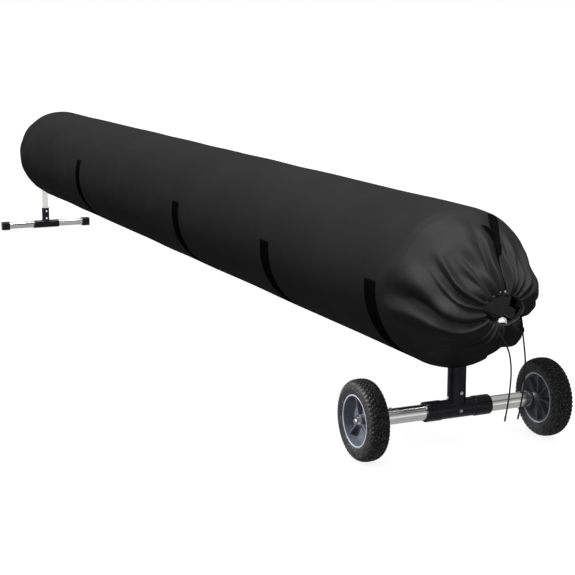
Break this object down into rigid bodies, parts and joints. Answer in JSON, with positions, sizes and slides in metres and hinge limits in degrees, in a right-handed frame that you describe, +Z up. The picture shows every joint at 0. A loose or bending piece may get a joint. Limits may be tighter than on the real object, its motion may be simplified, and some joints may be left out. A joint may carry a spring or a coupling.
{
  "type": "pool cover reel",
  "caption": "Pool cover reel on a wheeled stand and a plain stand, its blanket roll under a black sleeve gathered by a cord at the crank end.",
  "frame": {"origin": "on the floor, under the middle of the whole reel, cord tails left out", "axes": "+X along the reel towards the wheeled stand and the handwheel, +Y to the right of someone looking along +X, +Z up"},
  "size_m": [4.2674, 0.578, 0.6088],
  "materials": {
    "black_plastic": "satin",
    "bush_plastic": "satin",
    "stainless_tube": "polished",
    "steel_rod": "satin",
    "bright_fasteners": "polished",
    "reel_aluminium": "satin",
    "chrome_grip": "polished",
    "cap_rubber": "matte",
    "tyre_rubber": "matte",
    "hub_plastic": "satin",
    "blanket_sheet": "satin",
    "sleeve_fabric": "matte",
    "webbing": "matte",
    "draw_cord": "matte",
    "cord_trim": "satin"
  },
  "bodies": {
    "base": {"axle_nuts": "bright_fasteners", "axle_plug_left": "black_plastic", "axle_plug_right": "black_plastic", "axle_plug_screws": "bright_fasteners", "axle_rod_left": "steel_rod", "axle_rod_right": "steel_rod", "axle_spacer_left": "black_plastic", "axle_spacer_right": "black_plastic", "axle_washers": "bright_fasteners", "closure_strap_1": "webbing", "closure_strap_2": "webbing", "closure_strap_3": "webbing", "closure_strap_4": "webbing", "cover_sleeve": "sleeve_fabric", "drawcord_eyelet": "cord_trim", "drawcord_left": "draw_cord", "drawcord_right": "draw_cord", "drawcord_sheath": "draw_cord", "drawcord_tips": "cord_trim", "far_base_tube": "stainless_tube", "far_bearing_bush": "bush_plastic", "far_bearing_housing": "black_plastic", "far_elastic_hem": "sleeve_fabric", "far_foot_cap_left": "cap_rubber", "far_foot_cap_right": "cap_rubber", "far_tee": "black_plastic", "far_tee_screws": "bright_fasteners", "far_upright_tube": "stainless_tube", "mouth_hem": "sleeve_fabric", "near_base_tube": "stainless_tube", "near_bearing_bush": "bush_plastic", "near_bearing_housing": "black_plastic", "near_collar_left": "black_plastic", "near_collar_right": "black_plastic", "near_tee": "black_plastic", "near_tee_screws": "bright_fasteners", "near_upright_tube": "stainless_tube", "pull_strap": "webbing", "pull_strap_rivets": "bright_fasteners", "sleeve_end_panel": "sleeve_fabric"},
    "wheel_left": {"wheel_left_tyre": "tyre_rubber", "wheel_left_hub": "hub_plastic", "wheel_left_bush": "bush_plastic"},
    "wheel_right": {"wheel_right_tyre": "tyre_rubber", "wheel_right_hub": "hub_plastic", "wheel_right_bush": "bush_plastic"},
    "spinner": {"spinner_grip": "chrome_grip"},
    "drum": {"reel_tube_near": "reel_aluminium", "reel_tube_centre": "reel_aluminium", "reel_tube_far": "reel_aluminium", "reel_tube_screws": "bright_fasteners", "near_end_plug": "black_plastic", "far_end_plug": "black_plastic", "near_axle_shaft": "steel_rod", "far_axle_shaft": "steel_rod", "blanket_roll": "blanket_sheet", "handwheel": "black_plastic", "handwheel_bolt": "bright_fasteners", "grip_pin": "steel_rod"}
  },
  "joints": [
    {"name": "drum_spin", "type": "hinge", "parent": "base", "child": "drum", "pos_m": [1.9262, 0, 0.408], "axis": [1, 0, 0], "continuous": true},
    {"name": "spinner_spin", "type": "hinge", "parent": "drum", "child": "spinner", "pos_m": [2.0762, 0.007, 0.357], "axis": [1, 0, 0], "continuous": true},
    {"name": "wheel_left_spin", "type": "hinge", "parent": "base", "child": "wheel_left", "pos_m": [1.9262, -0.261, 0.1015], "axis": [0, 1, 0], "continuous": true},
    {"name": "wheel_right_spin", "type": "hinge", "parent": "base", "child": "wheel_right", "pos_m": [1.9262, 0.261, 0.1015], "axis": [0, 1, 0], "continuous": true}
  ]
}
